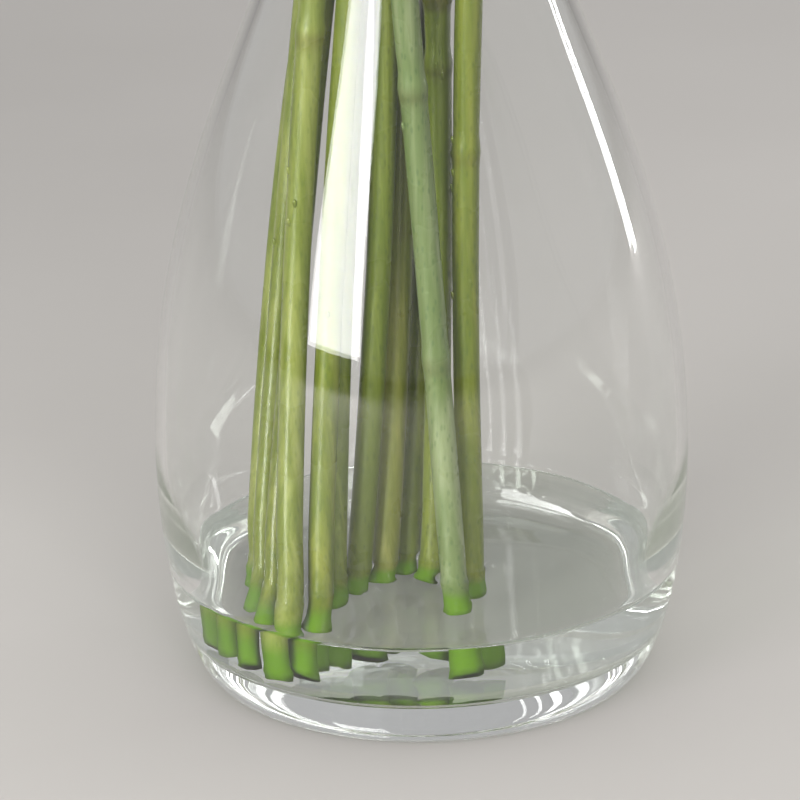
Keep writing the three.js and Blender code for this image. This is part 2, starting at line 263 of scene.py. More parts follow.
# radius, foot, waist, throat, tilt, azimuth, skin
stems = [
    (3.4, (-0.824, -0.39), (-0.58, -0.01), (-0.93, 0.28), 80, 150, "pale"),
    (3.4, (-0.841, -0.197), (-0.61, 0.15), (-0.78, 0.6), 42, 120, "pale"),
    (3.5, (-0.765, -0.558), (-0.52, -0.14), (-0.7, 0), 44, 182, "grass"),
    (4.1, (-0.656, -0.73), (-0.51, -0.29), (-0.83, -0.35), 80, 210, "pale"),
    (3.9, (-0.521, -0.642), (-0.37, -0.26), (-0.48, -0.48), 42, 240, "grass"),
    (3.5, (-0.445, -0.432), (-0.32, -0.1), (-0.41, 0.36), 80, 90, "deep"),
    (3.9, (-0.353, -0.289), (-0.18, -0.07), (-0.22, -0.22), 44, 298, "deep"),
    (4.1, (-0.219, -0.188), (-0.09, 0.04), (-0.12, 0.13), 4, 60, "olive"),
    (3.7, (-0.101, -0.062), (0.01, 0.15), (0.26, 0.36), 80, 30, "deep"),
    (4.0, (0.025, -0.172), (0.08, 0.02), (0.23, -0.02), 42, 0, "deep"),
    (4.1, (0.16, -0.525), (0.06, -0.22), (-0.2, -0.72), 80, 270, "bloomy"),
    (4.1, (0.235, -0.365), (0.19, -0.1), (0.67, -0.21), 80, 330, "grass"),
]
side_buds = [(9, 0.6, 46, 60), (11, 0.4, 96, 0), (5, 0.4, 96, 120),
             (3, 0.4, 96, 240), (7, 0.62, 26, 60), (10, 0.4, 98, 300)]
bud_stems = (2, 6)
# Heights above the floor of old leaf joints on each stem, and how far each stands out
joints = {3: [(0.205, 0.5)], 7: [(0.14, 0.25)], 9: [(0.212, 1.1), (0.19, 0.5)],
          10: [(0.188, 0.5), (0.104, 0.4)], 11: [(0.165, 0.35)], 4: [(0.235, 0.6)]}
# Stubs left where leaves were stripped: stem, height above the vase's foot, and the way they face
stubs = [(3, 0.163, 200), (3, 0.154, 250), (3, 0.148, 225), (4, 0.12, 260), (7, 0.176, 240),
         (9, 0.190, 262), (9, 0.187, 285), (10, 0.176, 200), (11, 0.168, 190), (11, 0.163, 175),
         (11, 0.158, 200), (11, 0.153, 185), (11, 0.12, 195), (0, 0.135, 210)]


def sweep(bm, centres, radii, sides):
    """A ring extruded through the centres, closed at both ends. Returns its rings of corners."""
    heading_now = (centres[1] - centres[0]).normalized()
    side = heading_now.orthogonal().normalized()
    placed = None
    rings = []
    for k, (centre, radius) in enumerate(zip(centres, radii)):
        ahead = centres[min(k + 1, len(centres) - 1)] - centres[max(k - 1, 0)]
        ahead.normalize()
        side = (side - side.dot(ahead) * ahead).normalized()
        across = ahead.cross(side)
        place = Matrix.Translation(centre) @ Matrix((side, across, ahead)).transposed().to_4x4()
        place = place @ Matrix.Diagonal((radius, radius, radius, 1))
        if placed is None:
            ring = bmesh.ops.create_circle(bm, cap_ends=True, radius=1, segments=sides, matrix=place)["verts"]
            edges = list(dict.fromkeys(edge for vert in ring for edge in vert.link_edges))
        else:
            made = bmesh.ops.extrude_edge_only(bm, edges=edges)["geom"]
            ring = [item for item in made if isinstance(item, bmesh.types.BMVert)]
            inside = set(ring)
            edges = [item for item in made
                     if isinstance(item, bmesh.types.BMEdge) and inside.issuperset(item.verts)]
            bmesh.ops.transform(bm, matrix=place @ placed.inverted(), verts=ring)
        placed = place
        rings.append(ring)
    bmesh.ops.contextual_create(bm, geom=edges)
    return rings


def bell(distance, width):
    return math.exp(-((distance / width) ** 2))


stem_sides = 20
shaft_steps = 96
free_steps = 52
stem_routes = []
for number, (size, foot, waist, throat, tilt, azimuth, skin) in enumerate(stems):
    stations = (station(foot, floor_radius + stem_gap, foot_height),
                station(waist, belly_radius - glass_wall, waist_height),
                station(throat, neck_radius - glass_wall, neck_height))
    stem_routes.append((stations, free_curve(stations, tilt, azimuth)))

stalk_routes = []
for number, share, tilt, azimuth in side_buds:
    free = stem_routes[number][1]
    root, facing = curve_point(free, share), heading(tilt, azimuth)
    head = head_centre + head_radius * facing
    reach = (head - root).length / 3
    stalk_routes.append((root, root + reach * curve_heading(free, share), head - reach * facing, head))


def shape_foot(bm, ring_rows, number):
    """Cuts the foot at a slant, spreads it a little and roughens its rim."""
    slant = heading(90, 137 * number + 20)
    steep = 0.25 + 0.2 * math.sin(3 * number + 1)
    for rings in ring_rows[:5]:
        middle = sum((v.co for v in rings), Vector()) / len(rings)
        for vert in rings:
            off = vert.co - middle
            fade = max(0, 1 - (middle.z - foot_height) / 0.007)
            fray = noise(vert.co * 450 + Vector((number, 0, 0)))
            lift = steep * (off.dot(slant) + off.length) * fade + 0.0007 * fray * fade
            vert.co += Vector((0, 0, max(0, lift))) + off * fade * (0.15 + 0.3 * fray)


stem_pieces = []
for number, (size, foot, waist, throat, tilt, azimuth, skin) in enumerate(stems):
    stations, free = stem_routes[number]
    centres = [shaft_point(stations, foot_height + (neck_height - foot_height) * k / shaft_steps)
               for k in range(shaft_steps)]
    centres += [curve_point(free, k / free_steps) for k in range(free_steps + 1)]
    radii = []
    for centre in centres:
        neck_fade = min(1, max(0, (centre.z - neck_height) / 0.12))
        radius = size * MM * (1 - 0.35 * neck_fade) * (1 + 0.03 * noise(centre * 30 + Vector((number, 0, 0))))
        for height, amount in joints.get(number, []):
            radius += amount * MM * (bell(centre.z - height, 0.003) - 0.35 * bell(centre.z - height - 0.006, 0.004))
        radii.append(radius)
    bm = bmesh.new()
    cut = bm.verts.layers.float.new("cut")
    joint = bm.verts.layers.float.new("joint")
    rows = sweep(bm, centres, radii, stem_sides)
    for height, amount in joints.get(number, []):
        for row, centre in zip(rows, centres):
            for vert in row:
                vert[joint] = max(vert[joint], min(1, amount) * bell(vert.co.z - height + 0.002, 0.0022))
    shape_foot(bm, rows, number)
    end_face = min(bm.faces, key=lambda face: face.calc_center_median().z)
    bmesh.ops.inset_region(bm, faces=[end_face], thickness=size * MM * 0.16, depth=-0.0001)
    bmesh.ops.inset_region(bm, faces=[end_face], thickness=size * MM * 0.4, depth=0.0002)
    for vert in end_face.verts:
        vert[cut] = 1
    for face in {f for v in end_face.verts for f in v.link_faces}:
        for vert in face.verts:
            vert[cut] = max(vert[cut], 0.8)
    for corners, (owner, *_) in zip(stalk_routes, side_buds):
        if owner == number:
            thin = [curve_point(corners, k / 24) for k in range(25)]
            sweep(bm, thin, [0.0024 - 0.0004 * k / 24 for k in range(25)], 12)
    for owner, height, facing in stubs:
        if owner == number:
            out = heading(90, facing)
            spot = shaft_point(stations, height) + out * size * MM * 0.93
            turn = Vector((0, 0, 1)).rotation_difference(Vector((0, 0, 1)) + 0.35 * out).to_matrix().to_4x4()
            place = Matrix.Translation(spot) @ turn @ Matrix.Diagonal((0.0007, 0.0007, 0.0019, 1))
            bmesh.ops.create_uvsphere(bm, u_segments=10, v_segments=8, radius=1, matrix=place)
    bmesh.ops.recalc_face_normals(bm, faces=bm.faces)
    piece = piece_of(f"stem_{number + 1:02d}_skin", bm)
    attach(piece, "root")
    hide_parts(f"stem_{number + 1:02d}")
    stem_pieces.append((piece, skin))


def new_group(name, ins, outs):
    """A shader node group: ins and outs map a socket's name to its kind."""
    group = bpy.data.node_groups.new(name, "ShaderNodeTree")
    for socket, (kind, value) in ins.items():
        made = group.interface.new_socket(name=socket, in_out="INPUT", socket_type="NodeSocket" + kind)
        made.default_value = value
    for socket, kind in outs.items():
        group.interface.new_socket(name=socket, in_out="OUTPUT", socket_type="NodeSocket" + kind)
    enter = group.nodes.new("NodeGroupInput")
    leave = group.nodes.new("NodeGroupOutput")
    return group, enter, leave


def place_group(tree, group, values):
    node = tree.nodes.new("ShaderNodeGroup")
    node.node_tree = group
    for key, value in values.items():
        node.inputs[key].default_value = value
    return node


def blend(tree, mode, fac, a, b):
    """A colour mix. fac, a and b are sockets or plain values."""
    node = add_node(tree, "Mix", data_type="RGBA", blend_type=mode, clamp_factor=True)
    for socket, value in ((node.inputs[0], fac), (node.inputs[6], a), (node.inputs[7], b)):
        if isinstance(value, bpy.types.NodeSocket):
            tree.links.new(value, socket)
        else:
            socket.default_value = value
    return node.outputs[2]


def ramp(tree, value, low, high, to_low=0.0, to_high=1.0):
    node = add_node(tree, "MapRange", {
        "From Min": low, "From Max": high, "To Min": to_low, "To Max": to_high}, interpolation_type="SMOOTHSTEP")
    tree.links.new(value, node.inputs["Value"])
    return node.outputs["Result"]


# Green skin: long pale and dark streaks, fine upright ribs and small flecks
skin_group, enter, leave = new_group(
    "stem_skin",
    {"Colour": ("Color", (0.3, 0.4, 0.1, 1)), "Pale": ("Color", (0.5, 0.6, 0.3, 1)),
     "Fleck": ("Color", (0.05, 0.12, 0.02, 1)), "Flecks": ("Float", 0.3)},
    {"Colour": "Color", "Roughness": "Float", "Height": "Float"})
coords = add_node(skin_group, "TexCoord")
long_streaks = add_node(skin_group, "Mapping", {"Scale": (230, 230, 9)})
streak = add_node(skin_group, "TexNoise", {"Scale": 1.0, "Detail": 3.0, "Roughness": 0.55})
fine_ribs = add_node(skin_group, "Mapping", {"Scale": (1500, 1500, 25)})
rib = add_node(skin_group, "TexNoise", {"Scale": 1.0, "Detail": 2.0})
blotch = add_node(skin_group, "TexNoise", {"Scale": 55.0, "Detail": 3.0})
speck_space = add_node(skin_group, "Mapping", {"Scale": (620, 620, 240)})
speck = add_node(skin_group, "TexVoronoi", {"Scale": 1.0, "Randomness": 1.0})
for space, texture in ((long_streaks, streak), (fine_ribs, rib), (speck_space, speck)):
    skin_group.links.new(coords.outputs["Object"], space.inputs["Vector"])
    skin_group.links.new(space.outputs["Vector"], texture.inputs["Vector"])
skin_group.links.new(coords.outputs["Object"], blotch.inputs["Vector"])
streaked = blend(skin_group, "MIX", ramp(skin_group, streak.outputs["Fac"], 0.4, 0.68),
                 enter.outputs["Colour"], enter.outputs["Pale"])
mottled = blend(skin_group, "MULTIPLY", ramp(skin_group, blotch.outputs["Fac"], 0.45, 0.75, 0, 0.45),
                streaked, (0.72, 0.8, 0.6, 1))
ribbed = blend(skin_group, "MULTIPLY", ramp(skin_group, rib.outputs["Fac"], 0.4, 0.7, 0, 0.3),
               mottled, (0.7, 0.75, 0.6, 1))
rare = add_node(skin_group, "Math", operation="MULTIPLY")
skin_group.links.new(ramp(skin_group, speck.outputs["Distance"], 0.34, 0.16), rare.inputs[0])
skin_group.links.new(enter.outputs["Flecks"], rare.inputs[1])
skin_group.links.new(blend(skin_group, "MIX", rare.outputs["Value"], ribbed, enter.outputs["Fleck"]),
                     leave.inputs["Colour"])
skin_group.links.new(ramp(skin_group, blotch.outputs["Fac"], 0.3, 0.7, 0.2, 0.42), leave.inputs["Roughness"])
skin_group.links.new(rib.outputs["Fac"], leave.inputs["Height"])

# Painted light: below the water the stems are painted a brighter, more yellow lime, standing in for the light the
# water and glass gather on the submerged feet. The cut ends are themselves a brighter, more yellow lime
skins = {
    "pale": ((0.26, 0.32, 0.03, 1), (0.45, 0.50, 0.11, 1), (0.07, 0.15, 0.02, 1), 0.2),
    "grass": ((0.22, 0.28, 0.02, 1), (0.38, 0.42, 0.06, 1), (0.06, 0.13, 0.02, 1), 0.25),
    "olive": ((0.27, 0.30, 0.04, 1), (0.42, 0.42, 0.09, 1), (0.12, 0.15, 0.03, 1), 0.2),
    "deep": ((0.20, 0.26, 0.02, 1), (0.36, 0.42, 0.06, 1), (0.05, 0.09, 0.015, 1), 0.25),
    "bloomy": ((0.25, 0.34, 0.11, 1), (0.42, 0.50, 0.23, 1), (0.10, 0.2, 0.05, 1), 0.4),
}
skin_materials = {}
for skin, (colour, pale, fleck, flecks) in skins.items():
    material, tree, shader = material_of(f"stem_skin_{skin}")
    group = place_group(tree, skin_group, {"Colour": colour, "Pale": pale, "Fleck": fleck, "Flecks": flecks})
    coords = add_node(tree, "TexCoord")
    place = add_node(tree, "SeparateXYZ")
    tree.links.new(coords.outputs["Object"], place.inputs["Vector"])
    # Painted light: below the water line the skin is blended towards a bright lime that stands in for light on the
    # submerged feet
    painted_underwater_light = ramp(tree, place.outputs["Z"], water_level - 0.003, water_level - 0.011)
    worn = add_node(tree, "Attribute", attribute_name="joint")
    jointed = blend(tree, "MULTIPLY", worn.outputs["Fac"], group.outputs["Colour"], (0.55, 0.42, 0.22, 1))
    skin_with_painted_underwater_light = blend(tree, "MIX", painted_underwater_light, jointed, (0.17, 0.36, 0.002, 1))
    dry = ramp(tree, place.outputs["Z"], water_level - 0.002, water_level)
    for socket, shine in (("Specular IOR Level", 0.5), ("Coat Weight", 0.25)):
        level = add_node(tree, "Math", {1: shine}, operation="MULTIPLY")
        tree.links.new(dry, level.inputs[0])
        tree.links.new(level.outputs["Value"], shader.inputs[socket])
    cut = add_node(tree, "Attribute", attribute_name="cut")
    tree.links.new(blend(tree, "MIX", cut.outputs["Fac"], skin_with_painted_underwater_light, (0.36, 0.56, 0.01, 1)), shader.inputs["Base Color"])
    tree.links.new(group.outputs["Roughness"], shader.inputs["Roughness"])
    bump = add_node(tree, "Bump", {"Strength": 0.35, "Distance": 0.0002})
    tree.links.new(group.outputs["Height"], bump.inputs["Height"])
    tree.links.new(bump.outputs["Normal"], shader.inputs["Normal"])
    shader.inputs["Subsurface Weight"].default_value = 0.12
    shader.inputs["Subsurface Radius"].default_value = (0.6, 1.0, 0.3)
    shader.inputs["Subsurface Scale"].default_value = 0.002
    shader.inputs["Coat Roughness"].default_value = 0.15
    skin_materials[skin] = material
for piece, skin in stem_pieces:
    piece.data.materials.append(skin_materials[skin])


# ---- Water ----
# A shallow pool in the bottom of the vase. It wets the glass and every stem, so its surface climbs a
# little at each of them. It reaches just into the glass, so that light bends once between the two.
wetting = 0.0003
climb = 0.0016
climb_reach = 0.0022
wet_wall = [point for point in inner_heel_curve(wetting, 40) if point.z < water_level + climb]
wall_radius = wet_wall[-1].x
surface_radii = [wall_radius * (1 - k / 70) for k in range(71)]
water_outline = [flat(0, floor_height - wetting)] + wet_wall
water_outline += [flat(radius, water_level + climb * math.exp(-(wall_radius - radius) / climb_reach))
                  for radius in surface_radii[1:]]
water = turned("water_pool", water_outline, turn_steps)
pierced = [(shaft_point(stations, water_level), stems[number][0] * MM)
           for number, (stations, free) in enumerate(stem_routes)]
for vert in water.data.vertices:
    if vert.co.z > water_level - 0.0001 and vert.co.xy.length < wall_radius - 0.0002:
        for middle, radius in pierced:
            gap = max(0, (vert.co.xy - middle.xy).length - radius)
            vert.co.z += 0.8 * climb * math.exp(-gap / climb_reach)
        vert.co.z += 0.00006 * noise(vert.co * 90)
clear_water, tree, shader = material_of("clear_water")
shader.inputs["Base Color"].default_value = (0.975, 0.99, 0.97, 1)
shader.inputs["Transmission Weight"].default_value = 1
shader.inputs["IOR"].default_value = 1.333
shader.inputs["Roughness"].default_value = 0
coords = add_node(tree, "TexCoord")
swirl = add_node(tree, "TexNoise", {"Scale": 45.0, "Detail": 1.0})
bump = add_node(tree, "Bump", {"Strength": 0.05, "Distance": 0.0006})
tree.links.new(coords.outputs["Object"], swirl.inputs["Vector"])
tree.links.new(swirl.outputs["Fac"], bump.inputs["Height"])
tree.links.new(bump.outputs["Normal"], shader.inputs["Normal"])
let_lamps_through(tree, shader, (0.96, 0.98, 0.95, 1))
water.data.materials.append(clear_water)
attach(water, "root")
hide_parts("water")


# ---- Leaves ----
# Narrow pointed leaves on the stems above the rim. Each is folded slightly along its midrib, has veins
# that run its whole length, and arches over under its own weight.
leaf_width = 0.020
# stem, how far up its free part, the way it points, its rise above level, its length
leaves = [
    (0, 0.28, 180, 15, 110), (3, 0.28, 240, 15, 115), (5, 0.28, 120, 15, 105), (8, 0.28, 60, 15, 110),
    (10, 0.28, 300, 15, 110), (11, 0.28, 0, 15, 115), (0, 0.42, 205, 25, 100), (3, 0.42, 265, 25, 95),
    (5, 0.42, 145, 25, 100), (8, 0.42, 85, 25, 105), (10, 0.42, 325, 25, 100), (11, 0.42, 25, 25, 95),
    (1, 0.5, 135, 30, 110), (4, 0.5, 240, 30, 110), (9, 0.5, 0, 30, 110), (7, 0.5, 60, 35, 105),
    (2, 0.45, 182, 25, 110), (6, 0.55, 298, 40, 100), (7, 0.62, 170, 45, 95), (7, 0.66, 330, 45, 90),
    (1, 0.75, 60, 30, 80), (4, 0.75, 180, 30, 80), (9, 0.75, 300, 30, 80), (0, 0.56, 75, 30, 85),
    (3, 0.56, 130, 36, 85), (8, 0.56, 315, 30, 85), (10, 0.56, 195, 30, 85), (7, 0.8, 180, 50, 65),
]
funnel_half_angle = math.radians(56)


def blade(bm, corners, width, outline, lift_at, steps, matrix, wrapped=False):
    """A grid bent along a midline and brought to its place. A wrapped one curves round its axis."""
    made = bmesh.ops.create_grid(bm, x_segments=steps[0], y_segments=steps[1], size=0.5, calc_uvs=True)["verts"]
    for vert in made:
        across, t = 2 * vert.co.x, vert.co.y + 0.5
        middle, along = curve_point(corners, t), curve_heading(corners, t)
        side = 0.5 * across * width * outline(t)
        lift = lift_at(across, t)
        out, up = middle.x - along.z * lift, middle.z + along.x * lift
        if wrapped:
            angle = max(-funnel_half_angle, min(funnel_half_angle, side / middle.x))
            vert.co = Vector((out * math.cos(angle), out * math.sin(angle), up))
        else:
            vert.co = Vector((out, side, up))
    bmesh.ops.transform(bm, matrix=matrix, verts=made)
    return made


def leaf_outline(t):
    return (0.2 + 0.8 * math.sin(math.pi * (0.04 + 0.9 * t)) - 0.1 * t) * (1 - t ** 5) ** 0.6


def thicken(piece, thickness, smooth_levels):
    wall = piece.modifiers.new("thickness", "SOLIDIFY")
    wall.thickness = thickness
    wall.offset = 0
    wall.use_even_offset = False
    smooth = piece.modifiers.new("smooth", "SUBSURF")
    smooth.levels = smooth.render_levels = smooth_levels


leaf_green, tree, shader = material_of("leaf_green")
coords = add_node(tree, "TexCoord")
spread = add_node(tree, "Mapping", {"Scale": (34, 1.2, 1)})
vein = add_node(tree, "TexNoise", {"Scale": 1.0, "Detail": 2.0, "Roughness": 0.4}, noise_dimensions="2D")
tone = add_node(tree, "TexNoise", {"Scale": 26.0, "Detail": 4.0})
place = add_node(tree, "SeparateXYZ")
off_middle = add_node(tree, "Math", {1: 0.5}, operation="SUBTRACT")
off_side = add_node(tree, "Math", operation="ABSOLUTE")
tree.links.new(coords.outputs["UV"], spread.inputs["Vector"])
tree.links.new(spread.outputs["Vector"], vein.inputs["Vector"])
tree.links.new(coords.outputs["Object"], tone.inputs["Vector"])
tree.links.new(coords.outputs["UV"], place.inputs["Vector"])
tree.links.new(place.outputs["X"], off_middle.inputs[0])
tree.links.new(off_middle.outputs["Value"], off_side.inputs[0])
deep = blend(tree, "MIX", ramp(tree, tone.outputs["Fac"], 0.35, 0.7), (0.035, 0.11, 0.02, 1), (0.09, 0.2, 0.035, 1))
veined = blend(tree, "MIX", ramp(tree, vein.outputs["Fac"], 0.42, 0.62, 0, 0.5), deep, (0.13, 0.26, 0.06, 1))
midrib = blend(tree, "MIX", ramp(tree, off_side.outputs["Value"], 0.05, 0.015), veined, (0.24, 0.38, 0.12, 1))
tipped = blend(tree, "MIX", ramp(tree, place.outputs["Y"], 0.93, 1.0, 0, 0.7), midrib, (0.3, 0.28, 0.09, 1))
tree.links.new(tipped, shader.inputs["Base Color"])
tree.links.new(ramp(tree, tone.outputs["Fac"], 0.3, 0.7, 0.3, 0.46), shader.inputs["Roughness"])
bump = add_node(tree, "Bump", {"Strength": 0.5, "Distance": 0.0004})
tree.links.new(vein.outputs["Fac"], bump.inputs["Height"])
tree.links.new(bump.outputs["Normal"], shader.inputs["Normal"])
shader.inputs["Subsurface Weight"].default_value = 0.1
shader.inputs["Subsurface Radius"].default_value = (0.5, 1.0, 0.2)
shader.inputs["Subsurface Scale"].default_value = 0.001

for number, (owner, share, azimuth, rise_degrees, length_mm) in enumerate(leaves):
    free = stem_routes[owner][1]
    rise, length = math.radians(rise_degrees), length_mm * MM
    grown = 0.65 * length * math.tan(0.7 * rise)
    corners = (flat(-0.0025, -0.001), flat(0.3 * length * math.cos(rise), 0.3 * length * math.sin(rise) + 0.004),
               flat(0.65 * length, grown), flat(0.95 * length, grown - 0.18 * length))
    lean = curve_heading(free, share)
    outward = heading(90, azimuth)
    outward = (outward - outward.dot(lean) * lean).normalized()
    root = curve_point(free, share) + outward * (stem_radius + 0.001)
    place = Matrix.Translation(root) @ Matrix.Rotation(math.radians(azimuth), 4, "Z")

    def leaf_lift(across, t, number=number):
        fold = 0.0022 * abs(across) ** 1.3 * math.sin(math.pi * min(1, t + 0.1))
        wave = 0.0012 * across * math.sin(9 * t + 1.7 * number)
        return fold + wave - 0.0006 * bell(across, 0.2)

    bm = bmesh.new()
    bm.loops.layers.uv.new("UVMap")
    blade(bm, corners, leaf_width, leaf_outline, leaf_lift, (10, 26), place)
    leaf = piece_of(f"leaf_{number + 1:02d}_blade", bm)
    leaf.data.materials.append(leaf_green)
    thicken(leaf, 0.0007, 1)
    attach(leaf, "root")
    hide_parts(f"leaf_{number + 1:02d}")


# ---- Blooms ----
# Ten open trumpet flowers. Six tepals stand in two rings of three on a small green receptacle and curl
# back at their tips, round six long filaments with rust brown anthers and one style with a lobed tip.
receptacle_radius = 0.007
tepal_layer = 0.0016
inner_tepal_width = 0.042
outer_tepal_width = 0.031


def head_matrix(corners, roll):
    """Sets a flower or bud that points up on the end of its stem."""
    tip = (corners[3] - corners[2]).normalized()
    turn = Vector((0, 0, 1)).rotation_difference(tip).to_matrix().to_4x4()
    return Matrix.Translation(corners[3]) @ turn @ Matrix.Rotation(math.radians(roll), 4, "Z")


def tepal_outline(t):
    broad = 0.14 + 0.86 * math.sin(math.pi * min(1, 0.02 + 0.92 * t)) - 0.1 * t
    return broad * (1 - t ** 7) ** 0.7


petal_white, tree, shader = material_of("petal_white")
coords = add_node(tree, "TexCoord")
place = add_node(tree, "SeparateXYZ")
off_middle = add_node(tree, "Math", {1: 0.5}, operation="SUBTRACT")
off_side = add_node(tree, "Math", operation="ABSOLUTE")
ribs = add_node(tree, "Mapping", {"Scale": (26, 0.9, 1)})
rib = add_node(tree, "TexNoise", {"Scale": 1.0, "Detail": 2.0, "Roughness": 0.45}, noise_dimensions="2D")
crinkle = add_node(tree, "TexNoise", {"Scale": 240.0, "Detail": 3.0})
bumps = add_node(tree, "Mapping", {"Scale": (42, 90, 1)})
papilla = add_node(tree, "TexVoronoi", {"Scale": 1.0}, voronoi_dimensions="2D", feature="SMOOTH_F1")
tree.links.new(coords.outputs["UV"], place.inputs["Vector"])
tree.links.new(place.outputs["X"], off_middle.inputs[0])
tree.links.new(off_middle.outputs["Value"], off_side.inputs[0])
for space, texture in ((ribs, rib), (bumps, papilla)):
    tree.links.new(coords.outputs["UV"], space.inputs["Vector"])
    tree.links.new(space.outputs["Vector"], texture.inputs["Vector"])
tree.links.new(coords.outputs["Object"], crinkle.inputs["Vector"])
white = blend(tree, "MIX", ramp(tree, rib.outputs["Fac"], 0.4, 0.65), (0.78, 0.77, 0.69, 1), (0.85, 0.85, 0.81, 1))
throat = blend(tree, "MIX", ramp(tree, place.outputs["Y"], 0.42, 0.05, 0, 0.85), white, (0.52, 0.62, 0.22, 1))
along_rib = add_node(tree, "Math", operation="MULTIPLY")
tree.links.new(ramp(tree, off_side.outputs["Value"], 0.11, 0.01), along_rib.inputs[0])
tree.links.new(ramp(tree, place.outputs["Y"], 0.85, 0.2, 0, 0.6), along_rib.inputs[1])
keeled = blend(tree, "MIX", along_rib.outputs["Value"], throat, (0.66, 0.74, 0.4, 1))
tree.links.new(blend(tree, "MIX", ramp(tree, place.outputs["Y"], 0.93, 1.0, 0, 0.5), keeled, (0.72, 0.78, 0.5, 1)),
               shader.inputs["Base Color"])
tree.links.new(ramp(tree, crinkle.outputs["Fac"], 0.3, 0.7, 0.42, 0.6), shader.inputs["Roughness"])
fine = add_node(tree, "Bump", {"Strength": 0.25, "Distance": 0.0003})
warts = add_node(tree, "Bump", {"Strength": 0.35, "Distance": 0.0006})
low_down = add_node(tree, "Math", operation="MULTIPLY")
tree.links.new(papilla.outputs["Distance"], low_down.inputs[0])
tree.links.new(ramp(tree, place.outputs["Y"], 0.55, 0.25, 0, -1), low_down.inputs[1])
tree.links.new(low_down.outputs["Value"], warts.inputs["Height"])
tree.links.new(rib.outputs["Fac"], fine.inputs["Height"])
tree.links.new(warts.outputs["Normal"], fine.inputs["Normal"])
tree.links.new(fine.outputs["Normal"], shader.inputs["Normal"])
shader.inputs["Subsurface Weight"].default_value = 0.35
shader.inputs["Subsurface Radius"].default_value = (1.0, 1.0, 0.6)
shader.inputs["Subsurface Scale"].default_value = 0.003
shader.inputs["Sheen Weight"].default_value = 0.15
shader.inputs["Sheen Roughness"].default_value = 0.4

# Style, filaments and receptacle share a smooth waxy green that pales towards the tips
throat_green, tree, shader = material_of("throat_green")
coords = add_node(tree, "TexCoord")
tone = add_node(tree, "TexNoise", {"Scale": 320.0, "Detail": 3.0})
pale = add_node(tree, "Attribute", attribute_name="pale")
tree.links.new(coords.outputs["Object"], tone.inputs["Vector"])
green = blend(tree, "MIX", tone.outputs["Fac"], (0.22, 0.36, 0.08, 1), (0.34, 0.46, 0.14, 1))
tree.links.new(blend(tree, "MIX", pale.outputs["Fac"], green, (0.72, 0.78, 0.5, 1)), shader.inputs["Base Color"])
tree.links.new(ramp(tree, tone.outputs["Fac"], 0.3, 0.7, 0.3, 0.45), shader.inputs["Roughness"])
bump = add_node(tree, "Bump", {"Strength": 0.2, "Distance": 0.0003})
tree.links.new(tone.outputs["Fac"], bump.inputs["Height"])
tree.links.new(bump.outputs["Normal"], shader.inputs["Normal"])

pollen, tree, shader = material_of("rust_pollen")
coords = add_node(tree, "TexCoord")
grain = add_node(tree, "TexNoise", {"Scale": 2600.0, "Detail": 3.0})
dust = add_node(tree, "TexNoise", {"Scale": 300.0, "Detail": 2.0})
tree.links.new(coords.outputs["Object"], grain.inputs["Vector"])
tree.links.new(coords.outputs["Object"], dust.inputs["Vector"])
brown = blend(tree, "MIX", ramp(tree, grain.outputs["Fac"], 0.4, 0.65), (0.16, 0.045, 0.012, 1), (0.42, 0.15, 0.03, 1))
tree.links.new(blend(tree, "MIX", ramp(tree, dust.outputs["Fac"], 0.5, 0.75, 0, 0.5), brown, (0.58, 0.28, 0.05, 1)),
               shader.inputs["Base Color"])
tree.links.new(ramp(tree, grain.outputs["Fac"], 0.3, 0.7, 0.8, 0.95), shader.inputs["Roughness"])
bump = add_node(tree, "Bump", {"Strength": 0.8, "Distance": 0.0004})
tree.links.new(grain.outputs["Fac"], bump.inputs["Height"])
tree.links.new(bump.outputs["Normal"], shader.inputs["Normal"])
shader.inputs["Sheen Weight"].default_value = 0.3

